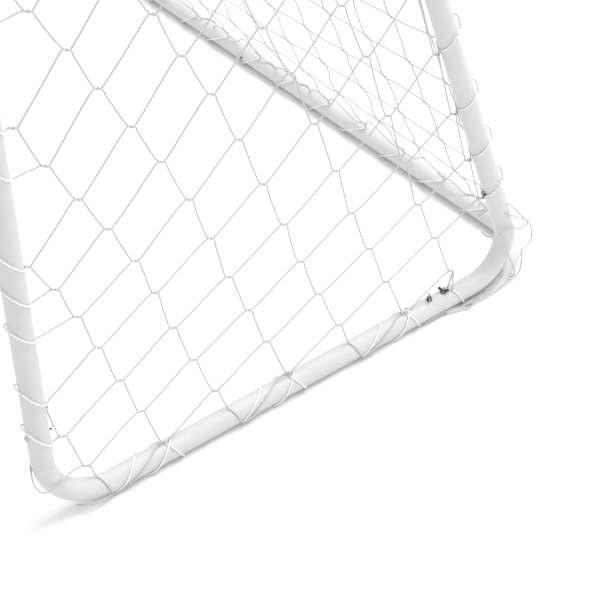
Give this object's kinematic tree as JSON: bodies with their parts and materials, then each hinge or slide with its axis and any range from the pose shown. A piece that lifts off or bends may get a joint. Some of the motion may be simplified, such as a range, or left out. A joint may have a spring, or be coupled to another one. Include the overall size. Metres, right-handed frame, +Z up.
{
  "type": "soccer goal frame",
  "caption": "Free-standing soccer goal of white round steel tube with leaning rear legs, short top stays, a pressed and bolted rear bar, wing nuts and a twine net.",
  "frame": {"origin": "on the ground under the middle of the goal, centred in width and depth", "axes": "+X along the crossbar, +Y from the mouth to the rear bar, +Z up"},
  "size_m": [3.682, 1.1376, 1.83],
  "materials": {
    "white_steel": "white powder coat, fine orange peel, satin",
    "zinc_steel": "zinc-plated steel, slightly dull",
    "dark_zinc": "dark zinc-plated cast wing nut",
    "net_twine": "white twisted polyethylene twine, matt with a slight sheen"
  },
  "bodies": {
    "frame": {"base_tube_right": "white_steel", "post_right": "white_steel", "corner_tube_right": "white_steel", "leg_right": "white_steel", "top_stay_right": "white_steel", "rear_corner_right": "white_steel", "base_tube_left": "white_steel", "post_left": "white_steel", "corner_tube_left": "white_steel", "leg_left": "white_steel", "top_stay_left": "white_steel", "rear_corner_left": "white_steel", "crossbar_middle": "white_steel", "rear_bar_middle": "white_steel", "joint_bolts": "zinc_steel", "joint_nuts": "zinc_steel", "clamp_bolts": "zinc_steel", "stay_bolts": "zinc_steel", "net_side_right": "net_twine", "net_side_left": "net_twine", "net_back": "net_twine", "net_roof": "net_twine"},
    "washer_rear_a_right": {"washer_rear_a_right": "zinc_steel"},
    "wing_nut_rear_a_right": {"wing_nut_rear_a_right": "dark_zinc"},
    "washer_rear_b_right": {"washer_rear_b_right": "zinc_steel"},
    "wing_nut_rear_b_right": {"wing_nut_rear_b_right": "dark_zinc"},
    "washer_top_a_right": {"washer_top_a_right": "zinc_steel"},
    "wing_nut_top_a_right": {"wing_nut_top_a_right": "dark_zinc"},
    "washer_top_b_right": {"washer_top_b_right": "zinc_steel"},
    "wing_nut_top_b_right": {"wing_nut_top_b_right": "dark_zinc"},
    "washer_rear_a_left": {"washer_rear_a_left": "zinc_steel"},
    "wing_nut_rear_a_left": {"wing_nut_rear_a_left": "dark_zinc"},
    "washer_rear_b_left": {"washer_rear_b_left": "zinc_steel"},
    "wing_nut_rear_b_left": {"wing_nut_rear_b_left": "dark_zinc"},
    "washer_top_a_left": {"washer_top_a_left": "zinc_steel"},
    "wing_nut_top_a_left": {"wing_nut_top_a_left": "dark_zinc"},
    "washer_top_b_left": {"washer_top_b_left": "zinc_steel"},
    "wing_nut_top_b_left": {"wing_nut_top_b_left": "dark_zinc"}
  },
  "joints": [
    {"name": "thread_travel_rear_a_right", "type": "slide", "parent": "frame", "child": "washer_rear_a_right", "axis": [0, 0, 1], "range_m": [0, 0.0048]},
    {"name": "nut_turn_rear_a_right", "type": "hinge", "parent": "washer_rear_a_right", "child": "wing_nut_rear_a_right", "pos_m": [1.811, 0.3005, 0.0413], "axis": [0, 0, 1], "range_deg": [0, 2160]},
    {"name": "thread_travel_rear_b_right", "type": "slide", "parent": "frame", "child": "washer_rear_b_right", "axis": [0, 0, 1], "range_m": [0, 0.0048]},
    {"name": "nut_turn_rear_b_right", "type": "hinge", "parent": "washer_rear_b_right", "child": "wing_nut_rear_b_right", "pos_m": [1.811, 0.2655, 0.0413], "axis": [0, 0, 1], "range_deg": [0, 2160]},
    {"name": "thread_travel_top_a_right", "type": "slide", "parent": "frame", "child": "washer_top_a_right", "axis": [-1, 0, 0], "range_m": [0, 0.0048]},
    {"name": "nut_turn_top_a_right", "type": "hinge", "parent": "washer_top_a_right", "child": "wing_nut_top_a_right", "pos_m": [1.7888, -0.5465, 1.655], "axis": [-1, 0, 0], "range_deg": [0, 2160]},
    {"name": "thread_travel_top_b_right", "type": "slide", "parent": "frame", "child": "washer_top_b_right", "axis": [-1, 0, 0], "range_m": [0, 0.0048]},
    {"name": "nut_turn_top_b_right", "type": "hinge", "parent": "washer_top_b_right", "child": "wing_nut_top_b_right", "pos_m": [1.7888, -0.5465, 1.625], "axis": [-1, 0, 0], "range_deg": [0, 2160]},
    {"name": "thread_travel_rear_a_left", "type": "slide", "parent": "frame", "child": "washer_rear_a_left", "axis": [0, 0, 1], "range_m": [0, 0.0048]},
    {"name": "nut_turn_rear_a_left", "type": "hinge", "parent": "washer_rear_a_left", "child": "wing_nut_rear_a_left", "pos_m": [-1.811, 0.3005, 0.0413], "axis": [0, 0, 1], "range_deg": [0, 2160]},
    {"name": "thread_travel_rear_b_left", "type": "slide", "parent": "frame", "child": "washer_rear_b_left", "axis": [0, 0, 1], "range_m": [0, 0.0048]},
    {"name": "nut_turn_rear_b_left", "type": "hinge", "parent": "washer_rear_b_left", "child": "wing_nut_rear_b_left", "pos_m": [-1.811, 0.2655, 0.0413], "axis": [0, 0, 1], "range_deg": [0, 2160]},
    {"name": "thread_travel_top_a_left", "type": "slide", "parent": "frame", "child": "washer_top_a_left", "axis": [1, 0, 0], "range_m": [0, 0.0048]},
    {"name": "nut_turn_top_a_left", "type": "hinge", "parent": "washer_top_a_left", "child": "wing_nut_top_a_left", "pos_m": [-1.7888, -0.5465, 1.655], "axis": [1, 0, 0], "range_deg": [0, 2160]},
    {"name": "thread_travel_top_b_left", "type": "slide", "parent": "frame", "child": "washer_top_b_left", "axis": [1, 0, 0], "range_m": [0, 0.0048]},
    {"name": "nut_turn_top_b_left", "type": "hinge", "parent": "washer_top_b_left", "child": "wing_nut_top_b_left", "pos_m": [-1.7888, -0.5465, 1.625], "axis": [1, 0, 0], "range_deg": [0, 2160]}
  ],
  "couplings": [
    {"joint": "nut_turn_rear_a_right", "follows": "thread_travel_rear_a_right", "rad_per_m": 7854},
    {"joint": "nut_turn_rear_b_right", "follows": "thread_travel_rear_b_right", "rad_per_m": 7854},
    {"joint": "nut_turn_top_a_right", "follows": "thread_travel_top_a_right", "rad_per_m": 7854},
    {"joint": "nut_turn_top_b_right", "follows": "thread_travel_top_b_right", "rad_per_m": 7854},
    {"joint": "nut_turn_rear_a_left", "follows": "thread_travel_rear_a_left", "rad_per_m": 7854},
    {"joint": "nut_turn_rear_b_left", "follows": "thread_travel_rear_b_left", "rad_per_m": 7854},
    {"joint": "nut_turn_top_a_left", "follows": "thread_travel_top_a_left", "rad_per_m": 7854},
    {"joint": "nut_turn_top_b_left", "follows": "thread_travel_top_b_left", "rad_per_m": 7854}
  ]
}
